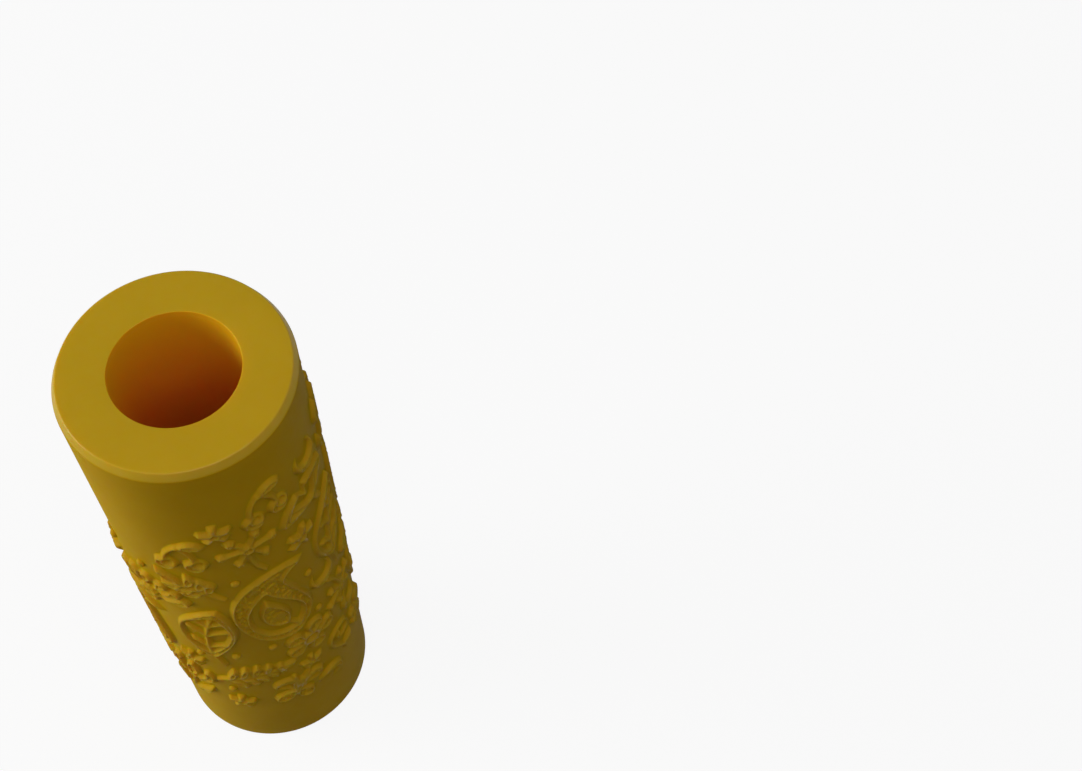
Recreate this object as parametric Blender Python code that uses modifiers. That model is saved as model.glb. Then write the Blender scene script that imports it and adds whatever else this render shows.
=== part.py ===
"""Clay texture roller: a thick-walled hollow roller whose outside carries a raised garden pattern.

The roller stands on one end, with its axis on Z and the centre of the lower end at the origin. The
pattern is drawn flat, as closed outlines on a tile as wide as the roller's circumference. Each drawing
is cut at its bend lines, rolled round the tube and thickened outwards, and is an object of its own.
The beads between the drawings are one with the tube.
"""

import math

import bmesh
import bpy
import numpy as np
from mathutils import Matrix, Vector, geometry

# Driving dimensions, in metres
ROLLER_LENGTH = 0.100
ROLLER_DIAMETER = 0.032
BORE_DIAMETER = 0.0176
END_FILLET_RADIUS = 0.001
RELIEF_HEIGHT = 0.0008
LOWER_PLAIN_MARGIN = 0.013
UPPER_PLAIN_MARGIN = 0.009
LINE_WIDTH = 0.0008
GROOVE_WIDTH = 0.0007
BEAD_DIAMETER = 0.0014
BEAD_HEIGHT = 0.0006
BEAD_ROOT_DEPTH = 0.0006
BEAD_SPACING = 0.0048
BEAD_CLEARANCE = 0.0008
SEAT_CLEARANCE = 0.0003

# Facets round the tube, its fillets and its beads. A drawing bends at every second edge of the tube.
TUBE_SIDES = 64
BEND_EVERY = 2
FILLET_STEPS = 3
BEAD_SIDES = 6

# Where the tile starts round the axis. It is the seam farthest from the front.
TILE_START_ANGLE = math.radians(112.5)

# A drawing is as much taller than its size share of the tile's height as the tile is wider than high
UPRIGHT_SHARE = 1.29

# The pattern's middle line rises and falls once round the roller
WAVE_MIDDLE_SHARE = 0.5
WAVE_RISE_SHARE = 0.13
WAVE_START_SHARE = 0.5

# Powers that shape the width of a petal, and of a bulb, between their two ends
PETAL_LEAN, PETAL_BLUNTNESS = 1.6, 0.6
BULB_ROUNDNESS, BULB_TAPER = 0.5, 1.1

# Beads are tried at places that two unrelated steps spread evenly over the pattern
BEAD_TRIES = 320
BEAD_STEP_SHARES = (0.7549, 0.5698)
BEAD_BAND_SHARE = 0.36
BEAD_TIP_SHARE = 0.7

WELD_DISTANCE = 0.000001
FLAT_ANGLE = math.radians(0.5)
SHARP_ANGLE = math.radians(30)
YELLOW_PLASTIC = (0.55, 0.35, 0.01, 1.0)
PLASTIC_ROUGHNESS = 0.45


def tile_point(across_share, up_share):
    """Metres round the roller and above its lower end, of a point given as shares of the tile."""
    band_height = ROLLER_LENGTH - LOWER_PLAIN_MARGIN - UPPER_PLAIN_MARGIN
    return across_share * math.pi * ROLLER_DIAMETER, LOWER_PLAIN_MARGIN + up_share * band_height


def on_roller(around, height, radius):
    """The place in space of a flat pattern point, at a radius from the roller's axis."""
    angle = TILE_START_ANGLE + around / (ROLLER_DIAMETER / 2)
    return Vector((radius * math.cos(angle), radius * math.sin(angle), height))


# Flat curves and outlines, as lists of points


def bezier(start, start_pull, end_pull, end, count, crowding=1):
    """Points on a cubic curve, both ends included. A crowding over 1 sets more of them near its start."""
    points = []
    for i in range(count + 1):
        t = (i / count) ** crowding
        weights = ((1 - t) ** 3, 3 * t * (1 - t) ** 2, 3 * t * t * (1 - t), t**3)
        pulls = (start, start_pull, end_pull, end)
        points.append(tuple(sum(w * p[axis] for w, p in zip(weights, pulls)) for axis in (0, 1)))
    return points


def bowed(start, end, bow_share, count):
    """Points on a line from start to end that bows to its left by a share of its length."""
    across, up = end[0] - start[0], end[1] - start[1]
    lift = (-up * bow_share * 4 / 3, across * bow_share * 4 / 3)
    pulls = [(start[0] + across * t + lift[0], start[1] + up * t + lift[1]) for t in (1 / 3, 2 / 3)]
    return bezier(start, *pulls, end, count)


def arc(centre, radius, start_degrees, end_degrees, count):
    """Points on a circular arc, both ends included. Zero degrees is up, and angles grow clockwise."""
    turns = [start_degrees + (end_degrees - start_degrees) * i / count for i in range(count + 1)]
    return [polar(radius, degrees, centre) for degrees in turns]


def polar(radius, degrees, centre=(0, 0)):
    """The point at a radius and a clockwise angle from a centre."""
    angle = math.radians(degrees)
    return centre[0] + radius * math.sin(angle), centre[1] + radius * math.cos(angle)


def disc(centre, radius, count):
    return arc(centre, radius, 0, 360, count)[:-1]


def ribbon(spine, half_widths):
    """The outline of a band along a spine. It is pointed where the half width is zero."""
    left, right = [], []
    for i, (x, y) in enumerate(spine):
        before, after = spine[max(i - 1, 0)], spine[min(i + 1, len(spine) - 1)]
        run, rise = after[0] - before[0], after[1] - before[1]
        reach = half_widths[i] / math.hypot(run, rise)
        left.append((x - rise * reach, y + run * reach))
        if reach > 0:
            right.append((x + rise * reach, y - run * reach))
    return left + right[::-1]


def leaf(base, tip, width, bow_share=0, count=6):
    """A leaf's outline, pointed at both ends and widest at its middle."""
    middle = [width / 2 * math.sin(math.pi * i / count) for i in range(1, count)]
    return ribbon(bowed(base, tip, bow_share, count), [0, *middle, 0])


def drop(base, tip, width, bow_share=0, count=6):
    """A petal's outline, pointed at its base, widest past its middle and blunt at its tip."""
    ways = [i / count for i in range(1, count)]
    middle = [width / 2 * math.sin(math.pi * way**PETAL_LEAN) ** PETAL_BLUNTNESS for way in ways]
    return ribbon(bowed(base, tip, bow_share, count), [0, *middle, 0])


def bulb(spine, width, crowding):
    """An outline that is round at the start of its spine and drawn out to a point at its end."""
    count = len(spine) - 1
    ways = [(i / count) ** crowding for i in range(count + 1)]
    swells = [t**BULB_ROUNDNESS * (1 - t) ** BULB_TAPER for t in ways]
    return ribbon(spine, [width / 2 * swell / max(swells) for swell in swells])


class Drawing:
    """A motif at its place on the tile: flat outlines painted in order, each raised ink or a groove."""

    def __init__(self, place_shares, turn_degrees, size_share):
        self.place_shares = place_shares
        self.turn = math.radians(turn_degrees)
        self.size_share = size_share
        self.outlines = []

    def flat(self, point_shares):
        """Metres round and up the roller, of a point given as shares of the drawing's size."""
        x, y = point_shares
        turned_x = x * math.cos(self.turn) + y * math.sin(self.turn)
        turned_y = y * math.cos(self.turn) - x * math.sin(self.turn)
        return tile_point(
            self.place_shares[0] + turned_x * self.size_share,
            self.place_shares[1] + turned_y * self.size_share * UPRIGHT_SHARE,
        )

    def ink(self, outline_shares):
        self.outlines.append(([self.flat(p) for p in outline_shares], True))

    def groove(self, outline_shares):
        self.outlines.append(([self.flat(p) for p in outline_shares], False))

    def ink_line(self, spine_shares):
        spine = [self.flat(p) for p in spine_shares]
        self.outlines.append((ribbon(spine, [LINE_WIDTH / 2] * len(spine)), True))

    def groove_line(self, spine_shares):
        spine = [self.flat(p) for p in spine_shares]
        self.outlines.append((ribbon(spine, [GROOVE_WIDTH / 2] * len(spine)), False))

    def is_clear(self, point, distance):
        """Whether a flat point is at least a distance from everything drawn."""
        middle = tile_point(*self.place_shares)
        if math.dist(point, middle) > self.size_share * math.pi * ROLLER_DIAMETER + distance:
            return True
        return all(distance_to(outline, point) > distance for outline, _ in self.outlines)


def distance_to(outline, point):
    """How far a flat point is outside an outline, or zero within it."""
    ends = np.array(outline)
    starts = np.roll(ends, 1, axis=0)
    sides = ends - starts
    along = ((point - starts) * sides).sum(axis=1) / np.maximum((sides**2).sum(axis=1), WELD_DISTANCE**2)
    nearest = starts + sides * np.clip(along, 0, 1)[:, None]
    crossed = (starts[:, 1] > point[1]) != (ends[:, 1] > point[1])
    rising = sides[crossed]
    meeting = starts[crossed, 0] + (point[1] - starts[crossed, 1]) * rising[:, 0] / rising[:, 1]
    if (meeting > point[0]).sum() % 2:
        return 0.0
    return np.hypot(*(nearest - point).T).min()


# The motifs. Each fills a unit square from foot to head, and its points and widths are shares of its size.


def paisley(motif):
    """A bulb that tapers to a hooked tip, with a groove inside its rim and a solid drop at its heart."""
    spine_shares = ((0.1, -0.5), (-0.16, -0.3), (-0.34, 0.66), (0.24, 0.46))
    rim_share, groove_share, heart_share = 0.56, 0.36, 0.2
    count, crowding = 11, 1.4
    spine = bezier(*spine_shares, count, crowding)
    motif.ink(bulb(spine, rim_share, crowding))
    motif.groove(bulb(spine[2:9], groove_share, crowding))
    motif.ink(bulb(spine[3:8], heart_share, crowding))
    motif.ink_line(spine[1:6:2])


def plume(motif):
    """A broad leaf in outline on a stalk, with a raised midrib and side veins."""
    base_share, tip_share, bow_share = (0.03, -0.34), (0.02, 0.5), 0.07
    width_share, inner_width_share, vein_rise_share = 0.42, 0.32, 0.75
    stalk_shares = ((0.1, -0.5), (0.08, -0.42), (0.02, -0.36))
    vein_reach_shares = {2: 0.12, 4: 0.14, 6: 0.1}
    motif.ink(leaf(base_share, tip_share, width_share, bow_share))
    midrib = bowed(base_share, tip_share, bow_share, 9)
    motif.groove(leaf(midrib[1], midrib[8], inner_width_share, bow_share))
    motif.ink_line(midrib[1:8:2])
    for step, reach_share in vein_reach_shares.items():
        x, y = midrib[step]
        for side in (-1, 1):
            motif.ink_line([(x, y), (x + side * reach_share, y + reach_share * vein_rise_share)])
    motif.ink_line(bezier(*stalk_shares, midrib[1], 2))


def tulip(motif):
    """A cup of three petals on a stalk with two lance leaves."""
    foot_share, cup_share, top_share = (0, -0.5), (0, 0.02), (0, 0.52)
    petal_tip_shares, petal_width_share, petal_bow_share = (0.21, 0.46), 0.28, 0.14
    gap_width_share, heart_width_share, cup_radius_share = 0.34, 0.2, 0.08
    leaf_root_shares, leaf_tip_shares = (-0.42, -0.46), ((-0.26, -0.04), (0.27, -0.14))
    leaf_width_share, leaf_bow_share = 0.13, 0.16
    for side in (-1, 1):
        tip = (side * petal_tip_shares[0], petal_tip_shares[1])
        motif.ink(leaf(cup_share, tip, petal_width_share, -side * petal_bow_share))
    motif.groove(leaf(cup_share, top_share, gap_width_share))
    motif.ink(leaf(cup_share, top_share, heart_width_share))
    motif.ink(disc(cup_share, cup_radius_share, 7))
    motif.ink_line([foot_share, cup_share])
    for side, root_share, tip in zip((1, -1), leaf_root_shares, leaf_tip_shares):
        motif.ink(leaf((0, root_share), tip, leaf_width_share, side * leaf_bow_share, 4))


def ginkgo(motif):
    """A notched fan in outline, with two veins that spread from its stalk."""
    hinge_share, notch_share, reach_share = (0, -0.2), (0, 0.2), 0.62
    inner_hinge_share, inner_notch_share, inner_reach_share = (0, -0.1), (0, 0.02), 0.42
    edge_degrees, notch_degrees, inner_edge_degrees, inner_notch_degrees = 64, 8, 60, 14
    vein_degrees, vein_reach_share = 38, 0.56
    stalk_shares = ((0.08, -0.5), (0.02, -0.4), (0, -0.3), (0, -0.14))
    left = arc(hinge_share, reach_share, -edge_degrees, -notch_degrees, 4)
    right = arc(hinge_share, reach_share, notch_degrees, edge_degrees, 4)
    motif.ink([hinge_share, *left, notch_share, *right])
    left = arc(inner_hinge_share, inner_reach_share, -inner_edge_degrees, -inner_notch_degrees, 3)
    right = arc(inner_hinge_share, inner_reach_share, inner_notch_degrees, inner_edge_degrees, 3)
    motif.groove([inner_hinge_share, *left, inner_notch_share, *right])
    for side in (-1, 1):
        motif.ink_line([hinge_share, polar(vein_reach_share, side * vein_degrees, hinge_share)])
    motif.ink_line(bezier(*stalk_shares, 3))


def daisy(motif):
    """Drop petals round a pierced centre."""
    petals = 5
    root_share, reach_share, petal_width_share = 0.08, 0.5, 0.34
    centre_radius_share, hole_radius_share = 0.2, 0.08
    for i in range(petals):
        degrees = 360 * i / petals
        motif.ink(drop(polar(root_share, degrees), polar(reach_share, degrees), petal_width_share, 0, 4))
    motif.ink(disc((0, 0), centre_radius_share, petals))
    motif.groove(disc((0, 0), hole_radius_share, 5))


def fern(motif):
    """A bowed stalk with pairs of leaflets that shorten towards its tip."""
    foot_share, crown_share, tip_share, stalk_bow_share = (0.05, -0.5), (-0.02, 0.4), (-0.06, 0.52), 0.08
    leaflet_reach_share, leaflet_rise_share, leaflet_width_share, leaflet_bow_share = 0.29, 0.6, 0.115, 0.1
    first_swell_share, last_swell_share = 0.45, 0.85
    pairs = 5
    stalk = bowed(foot_share, crown_share, stalk_bow_share, pairs + 1)
    motif.ink_line(stalk)
    for i in range(1, pairs + 1):
        x, y = stalk[i]
        swell_share = first_swell_share + (last_swell_share - first_swell_share) * (i - 1) / (pairs - 1)
        reach = leaflet_reach_share * math.sin(math.pi * swell_share)
        for side in (-1, 1):
            tip = (x + side * reach, y + reach * leaflet_rise_share)
            motif.ink(leaf((x, y), tip, leaflet_width_share, side * leaflet_bow_share, 3))
    motif.ink(leaf(stalk[-2], tip_share, leaflet_width_share, 0, 3))


def wheat(motif):
    """An ear of plump paired grains on a bowed stalk."""
    foot_share, crown_share, tip_share, stalk_bow_share = (0.08, -0.5), (0, 0.2), (0, 0.5), -0.06
    grain_shares, grain_width_share, grain_bow_share = (0.22, 0.2), 0.15, 0.2
    pairs, bare_steps = 3, 2
    stalk = bowed(foot_share, crown_share, stalk_bow_share, pairs + bare_steps)
    motif.ink_line(stalk)
    for x, y in stalk[bare_steps:-1]:
        for side in (-1, 1):
            tip = (x + side * grain_shares[0], y + grain_shares[1])
            motif.ink(leaf((x, y), tip, grain_width_share, -side * grain_bow_share, 3))
    motif.ink(leaf(stalk[-2], tip_share, grain_width_share, 0, 4))


def dandelion(motif):
    """A seed head: knobbed spokes round a small hub, on a bowed stalk."""
    foot_share, hub_share, stalk_bow_share = (0.06, -0.5), (0, 0.16), 0.08
    spoke_share, knob_radius_share, hub_radius_share = 0.3, 0.065, 0.09
    spokes = 6
    motif.ink_line(bowed(foot_share, hub_share, stalk_bow_share, 3))
    for i in range(spokes):
        tip = polar(spoke_share, 180 + 360 * (i + 0.5) / spokes, hub_share)
        motif.ink_line([hub_share, tip])
        motif.ink(disc(tip, knob_radius_share, 5))
    motif.ink(disc(hub_share, hub_radius_share, 6))


def butterfly(motif):
    """Two pairs of wings, the upper pair pierced, on a slim body with feelers."""
    upper_tip_shares, lower_tip_shares = (0.46, 0.36), (0.34, -0.42)
    upper_width_share, lower_width_share, wing_bow_share = 0.44, 0.34, 0.06
    window_shares, window_width_share = ((0.15, 0.1), (0.36, 0.27)), 0.22
    feeler_shares, body_half_share, body_width_share = ((0, 0.2), (0.14, 0.5)), 0.36, 0.15
    for side in (-1, 1):
        upper_tip, lower_tip = ((side * x, y) for x, y in (upper_tip_shares, lower_tip_shares))
        window = [(side * x, y) for x, y in window_shares]
        feeler = [(side * x, y) for x, y in feeler_shares]
        motif.ink(drop((0, 0), upper_tip, upper_width_share, side * wing_bow_share, 5))
        motif.ink(drop((0, 0), lower_tip, lower_width_share, -side * wing_bow_share, 5))
        motif.groove(drop(*window, window_width_share, 0, 4))
        motif.ink_line(feeler)
    motif.ink(leaf((0, -body_half_share), (0, body_half_share), body_width_share, 0, 4))


def poppy_pod(motif):
    """A ribbed seed pod under a scalloped crown, on a stalk with one leaf."""
    pod_share, pod_radius_share, rib_shares = (0, 0.06), 0.24, (-0.09, 0.0, 0.09)
    rib_rise_share, rib_bulge_share = 0.14, 1.4
    crown_rise_share, crown_half_share, neck_shares, scallop_radius_share = 0.41, 0.22, (0.12, 0.24), 0.09
    foot_share, leaf_shares = (0.05, -0.5), ((0.04, -0.44), (0.3, -0.2))
    leaf_width_share, leaf_bow_share = 0.15, -0.15
    scallops = 4
    motif.ink(disc(pod_share, pod_radius_share, 10))
    for x in rib_shares:
        rises = [pod_share[1] + rib_rise_share * step for step in (-1, 0, 1)]
        motif.groove_line([(x, rises[0]), (x * rib_bulge_share, rises[1]), (x, rises[2])])
    for i in range(scallops):
        x = crown_half_share * (2 * i / (scallops - 1) - 1)
        motif.ink(disc((x, crown_rise_share), scallop_radius_share, 6))
    neck_half, neck_rise = neck_shares
    rim = [(-crown_half_share, crown_rise_share), (crown_half_share, crown_rise_share)]
    motif.ink([(-neck_half, neck_rise), *rim, (neck_half, neck_rise)])
    motif.ink_line([foot_share, pod_share])
    motif.ink(leaf(*leaf_shares, leaf_width_share, leaf_bow_share, 4))


def shell(motif):
    """A scallop with grooved ribs and two small ears at its hinge."""
    hinge_share, valley_share, crest_share, rib_shares = (0, -0.36), 0.74, 0.84, (0.28, 0.64)
    ear_shares = ((-0.24, -0.5), (-0.2, -0.3), (0.2, -0.3), (0.24, -0.5))
    crests, crest_degrees = 6, 22
    half_turn = crests * crest_degrees / 2
    edge = [hinge_share]
    for i in range(2 * crests + 1):
        reach = crest_share if i % 2 else valley_share
        edge.append(polar(reach, i * crest_degrees / 2 - half_turn, hinge_share))
    motif.ink(edge)
    for i in range(1, crests):
        degrees = i * crest_degrees - half_turn
        motif.groove_line([polar(reach, degrees, hinge_share) for reach in rib_shares])
    motif.ink(ear_shares)


def cherries(motif):
    """Two round fruits with a glint hole, on joined stalks with one leaf."""
    fruit_shares, fruit_radius_share = ((-0.26, -0.27), (0.22, -0.3)), 0.2
    glint_share, glint_radius_share = 0.06, 0.06
    stalk_rise_share, joint_share, stalk_bow_share = 0.14, (0.02, 0.38), 0.1
    leaf_tip_share, leaf_width_share, leaf_bow_share = (0.48, 0.34), 0.24, 0.12
    for side, (x, y) in zip((1, -1), fruit_shares):
        motif.ink(disc((x, y), fruit_radius_share, 8))
        motif.groove(disc((x + glint_share, y + glint_share), glint_radius_share, 5))
        stalk_root = (x, y + stalk_rise_share)
        motif.ink_line(bowed(stalk_root, joint_share, side * stalk_bow_share, 3))
    motif.ink(leaf(joint_share, leaf_tip_share, leaf_width_share, leaf_bow_share, 4))


def sparkle(motif):
    """A small star of five blunt rays."""
    rays, tip_degrees = 5, 13
    tip_share, notch_share = 0.5, 0.2
    star = []
    for i in range(rays):
        degrees = 360 * i / rays
        star += [polar(tip_share, degrees + side * tip_degrees) for side in (-1, 1)]
        star.append(polar(notch_share, degrees + 180 / rays))
    motif.ink(star)


def tendril(motif):
    """A stalk that curls into a spiral, with one small leaf."""
    foot_shares, curl_share = ((0.16, -0.5), (0.12, -0.26), (-0.27, -0.14)), (0, 0.22)
    outer_radius_share, inner_radius_share = 0.27, 0.08
    first_degrees, curl_degrees, count = 270, 400, 9
    leaf_shares, leaf_width_share, leaf_bow_share = ((0.08, -0.33), (0.34, -0.16)), 0.15, -0.1
    shrink = inner_radius_share - outer_radius_share
    curl = []
    for i in range(count + 1):
        way = i / count
        curl.append(polar(outer_radius_share + shrink * way, first_degrees + curl_degrees * way, curl_share))
    motif.ink_line(bezier(*foot_shares, curl[0], 3) + curl[1:])
    motif.ink(leaf(*leaf_shares, leaf_width_share, leaf_bow_share, 4))


def crescent(motif):
    """A moon: an outer arc closed by an inner one."""
    outer_radius_share, inner_centre_share, inner_radius_share = 0.48, (0.05, 0.17), 0.35
    outer_degrees, inner_degrees = (50, 340), (323, 67)
    outer = arc((0, 0), outer_radius_share, *outer_degrees, 8)
    inner = arc(inner_centre_share, inner_radius_share, *inner_degrees, 6)
    motif.ink(outer + inner[1:-1])


# Each place is a motif, its shares across the tile and above the pattern's middle line, its clockwise turn
# in degrees and its size as a share of the tile's width
PLACE_SHARES = (
    (paisley, 0.04, 0.00, 5, 0.205),
    (plume, 0.16, 0.00, -5, 0.22),
    (paisley, 0.29, 0.00, 5, 0.205),
    (plume, 0.415, 0.00, 10, 0.22),
    (paisley, 0.54, 0.00, 0, 0.205),
    (plume, 0.66, 0.00, 15, 0.22),
    (paisley, 0.795, 0.00, 5, 0.205),
    (plume, 0.91, 0.00, -5, 0.22),
    (tulip, 0.02, 0.24, 5, 0.135),
    (daisy, 0.135, 0.25, 0, 0.10),
    (fern, 0.23, 0.235, 55, 0.14),
    (shell, 0.345, 0.225, 20, 0.09),
    (wheat, 0.41, 0.25, -40, 0.125),
    (dandelion, 0.515, 0.27, -5, 0.125),
    (ginkgo, 0.625, 0.225, -20, 0.11),
    (tulip, 0.73, 0.25, 10, 0.13),
    (daisy, 0.82, 0.235, 10, 0.10),
    (butterfly, 0.92, 0.235, 25, 0.11),
    (daisy, 0.05, -0.235, 0, 0.10),
    (wheat, 0.14, -0.24, 50, 0.125),
    (ginkgo, 0.245, -0.235, -20, 0.11),
    (tulip, 0.34, -0.245, 10, 0.135),
    (fern, 0.46, -0.245, 78, 0.14),
    (daisy, 0.56, -0.235, 20, 0.10),
    (dandelion, 0.64, -0.22, 165, 0.12),
    (shell, 0.735, -0.21, -160, 0.09),
    (fern, 0.815, -0.32, 65, 0.14),
    (poppy_pod, 0.925, -0.23, 175, 0.12),
    (butterfly, 0.515, -0.405, 15, 0.095),
    (cherries, 0.55, 0.385, -10, 0.085),
    (cherries, 0.985, -0.41, 0, 0.085),
    (cherries, 0.42, 0.38, 0, 0.085),
    (daisy, 0.985, 0.40, 0, 0.075),
    (daisy, 0.682, -0.47, 15, 0.075),
    (crescent, 0.612, -0.08, -20, 0.055),
    (crescent, 0.96, -0.335, 60, 0.055),
    (crescent, 0.105, 0.11, 60, 0.055),
    (crescent, 0.64, 0.33, -20, 0.055),
    (crescent, 0.662, -0.35, 20, 0.055),
    (crescent, 0.578, -0.495, 200, 0.055),
    (sparkle, 0.592, 0.15, 20, 0.055),
    (sparkle, 0.36, -0.12, 0, 0.05),
    (sparkle, 0.55, -0.34, 0, 0.045),
    (sparkle, 0.865, 0.115, 0, 0.045),
    (sparkle, 0.478, 0.415, 0, 0.05),
    (sparkle, 0.42, -0.36, 0, 0.05),
    (sparkle, 0.14, 0.36, 0, 0.055),
    (sparkle, 0.87, -0.37, 0, 0.05),
    (tendril, 0.614, -0.42, 10, 0.10),
    (tendril, 0.72, -0.35, 20, 0.10),
)


def middle_share(across_share):
    """How far up the tile the pattern's middle line is."""
    return WAVE_MIDDLE_SHARE + WAVE_RISE_SHARE * math.sin(math.tau * (across_share - WAVE_START_SHARE))


def placed_drawings():
    """Each motif's drawing at its place, by name."""
    drawings, counts = {}, {}
    for motif, across_share, rise_share, turn_degrees, size_share in PLACE_SHARES:
        counts[motif] = counts.get(motif, 0) + 1
        drawing = Drawing((across_share, middle_share(across_share) + rise_share), turn_degrees, size_share)
        motif(drawing)
        drawings[f"{motif.__name__}_{counts[motif]}"] = drawing
    return drawings


def signed_area(outline):
    following = outline[1:] + outline[:1]
    return sum(a[0] * b[1] - b[0] * a[1] for a, b in zip(outline, following)) / 2


def painted_faces(drawing, bend_lines):
    """A drawing's flat points, and the triangles of its raised area, cut at the bend lines."""
    points, edges, faces = [], [], []
    for outline, _ in drawing.outlines:
        first = len(points)
        points += outline if signed_area(outline) > 0 else outline[::-1]
        faces.append(list(range(first, len(points))))
    left, right = (pick(p[0] for p in points) for pick in (min, max))
    low, high = (pick(p[1] for p in points) for pick in (min, max))
    overrun = high - low
    for around in bend_lines:
        if left < around < right:
            edges.append((len(points), len(points) + 1))
            points += [(around, low - overrun), (around, high + overrun)]
    flat, _, triangles, _, _, sources = geometry.delaunay_2d_cdt(
        [Vector(p) for p in points], edges, faces, 0, WELD_DISTANCE
    )
    raised = [t for t, inside in zip(triangles, sources) if inside and drawing.outlines[max(inside)][1]]
    return flat, raised


def raised_mesh(name, drawing):
    """The drawing rolled round the tube and thickened outwards, as a closed mesh."""
    bend = math.pi * ROLLER_DIAMETER / TUBE_SIDES * BEND_EVERY
    bends = TUBE_SIDES // BEND_EVERY
    flat, triangles = painted_faces(drawing, [bend * i for i in range(-bends, 2 * bends)])
    foot_radius = ROLLER_DIAMETER / 2 + SEAT_CLEARANCE
    top_radius = ROLLER_DIAMETER / 2 + RELIEF_HEIGHT
    rolled = bmesh.new()
    corners = {}
    for i in sorted({i for triangle in triangles for i in triangle}):
        corners[i] = rolled.verts.new(on_roller(*flat[i], foot_radius))
    for triangle in triangles:
        rolled.faces.new([corners[i] for i in triangle])
    bmesh.ops.recalc_face_normals(rolled, faces=rolled.faces)
    bmesh.ops.dissolve_limit(rolled, angle_limit=FLAT_ANGLE, verts=rolled.verts, edges=rolled.edges)
    bmesh.ops.triangulate(rolled, faces=rolled.faces)
    lifted = bmesh.ops.extrude_face_region(rolled, geom=rolled.faces)
    for vert in (v for v in lifted["geom"] if isinstance(v, bmesh.types.BMVert)):
        vert.co.xy *= top_radius / foot_radius
    bmesh.ops.recalc_face_normals(rolled, faces=rolled.faces)
    mesh = bpy.data.meshes.new(name)
    rolled.to_mesh(mesh)
    rolled.free()
    mesh.shade_smooth()
    mesh.set_sharp_from_angle(angle=SHARP_ANGLE)
    return mesh


def bead_places(drawings):
    """Flat places where a bead fits between the drawings, spread evenly over the pattern."""
    tile_width, _ = tile_point(1, 0)
    clearance, places = BEAD_DIAMETER / 2 + BEAD_CLEARANCE, []
    for i in range(BEAD_TRIES):
        across_share, spread_share = ((i * step_share) % 1 for step_share in BEAD_STEP_SHARES)
        up_share = middle_share(across_share) + BEAD_BAND_SHARE * (2 * spread_share - 1)
        place = np.array(tile_point(across_share, up_share))
        repeats = [place + np.array((tile_width * turns, 0)) for turns in (-1, 0, 1)]
        if any(np.hypot(*(r - p)) < BEAD_SPACING for r in repeats for p in places):
            continue
        if all(drawing.is_clear(r, clearance) for drawing in drawings for r in repeats):
            places.append(place)
    return places


def bead_object(name, places):
    """Every bead as a short cone that stands on the tube and roots in its wall."""
    length = BEAD_ROOT_DEPTH + BEAD_HEIGHT
    middle_radius = ROLLER_DIAMETER / 2 + BEAD_HEIGHT - length / 2
    cones = bmesh.new()
    for around, height in places:
        centre = on_roller(around, height, middle_radius)
        outwards = Vector((centre.x, centre.y, 0)).to_track_quat("Z", "Y").to_matrix().to_4x4()
        bmesh.ops.create_cone(
            cones,
            cap_ends=True,
            segments=BEAD_SIDES,
            radius1=BEAD_DIAMETER / 2,
            radius2=BEAD_DIAMETER / 2 * BEAD_TIP_SHARE,
            depth=length,
            matrix=Matrix.Translation(centre) @ outwards,
        )
    mesh = bpy.data.meshes.new(name)
    cones.to_mesh(mesh)
    cones.free()
    return bpy.data.objects.new(name, mesh)


def tube_profile():
    """The wall's section in the XZ plane: out across the top, down the outside and in across the foot."""
    outer, inner, fillet = ROLLER_DIAMETER / 2, BORE_DIAMETER / 2, END_FILLET_RADIUS
    points = [(inner, ROLLER_LENGTH)]
    for centre_height, first_degrees in ((ROLLER_LENGTH - fillet, 90), (fillet, 0)):
        for i in range(FILLET_STEPS + 1):
            angle = math.radians(first_degrees - 90 * i / FILLET_STEPS)
            across, up = fillet * math.cos(angle), fillet * math.sin(angle)
            points.append((outer - fillet + across, centre_height + up))
    points.append((inner, 0))
    return points


def turned_object(name, points, sides):
    """A closed section turned once round Z."""
    mesh = bpy.data.meshes.new(name)
    count = len(points)
    mesh.from_pydata([(x, 0, z) for x, z in points], [(i, (i + 1) % count) for i in range(count)], [])
    turned = bpy.data.objects.new(name, mesh)
    screw = turned.modifiers.new("turn", "SCREW")
    screw.steps = screw.render_steps = sides
    screw.use_merge_vertices = True
    screw.merge_threshold = WELD_DISTANCE
    screw.use_normal_calculate = True
    return turned


def plastic(name):
    """Satin yellow plastic."""
    material = bpy.data.materials.new(name)
    material.use_nodes = True
    shader = material.node_tree.nodes["Principled BSDF"]
    shader.inputs["Base Color"].default_value = YELLOW_PLASTIC
    shader.inputs["Roughness"].default_value = PLASTIC_ROUGHNESS
    shader.inputs["Metallic"].default_value = 0
    return material


def build_tube(parts, helpers, drawings):
    """The hollow tube, joined with its beads."""
    tube = turned_object("roller_tube", tube_profile(), TUBE_SIDES)
    tube.data.materials.append(plastic("roller_tube"))
    parts.objects.link(tube)
    beads = bead_object("beads", bead_places(drawings))
    beads.hide_render = True
    beads.display_type = "WIRE"
    helpers.objects.link(beads)
    union = tube.modifiers.new("beads", "BOOLEAN")
    union.operation = "UNION"
    union.solver = "EXACT"
    union.object = beads


def build_relief(parts, drawings):
    """One raised piece for each drawing."""
    for name, drawing in drawings.items():
        raised = bpy.data.objects.new(name, raised_mesh(name, drawing))
        raised.data.materials.append(plastic(name))
        parts.objects.link(raised)


def main():
    for old in list(bpy.data.objects):
        bpy.data.objects.remove(old)
    parts = bpy.data.collections.new("clay_texture_roller")
    helpers = bpy.data.collections.new("helpers")
    for collection in (parts, helpers):
        bpy.context.scene.collection.children.link(collection)
    drawings = placed_drawings()
    build_tube(parts, helpers, list(drawings.values()))
    build_relief(parts, drawings)


main()
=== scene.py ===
"""Looks of the clay texture roller: a fine tube, soft-edged relief, satin plastic, light and camera.

The roller stands on its lower end at the origin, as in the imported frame. Every raised motif is drawn
again from smooth curves, on a flat grid of depths inside its outline, and rolled round the tube as a
closed mesh with rounded shoulders. The wide tops are dished and pitted.
"""

import math
import sys

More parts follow.
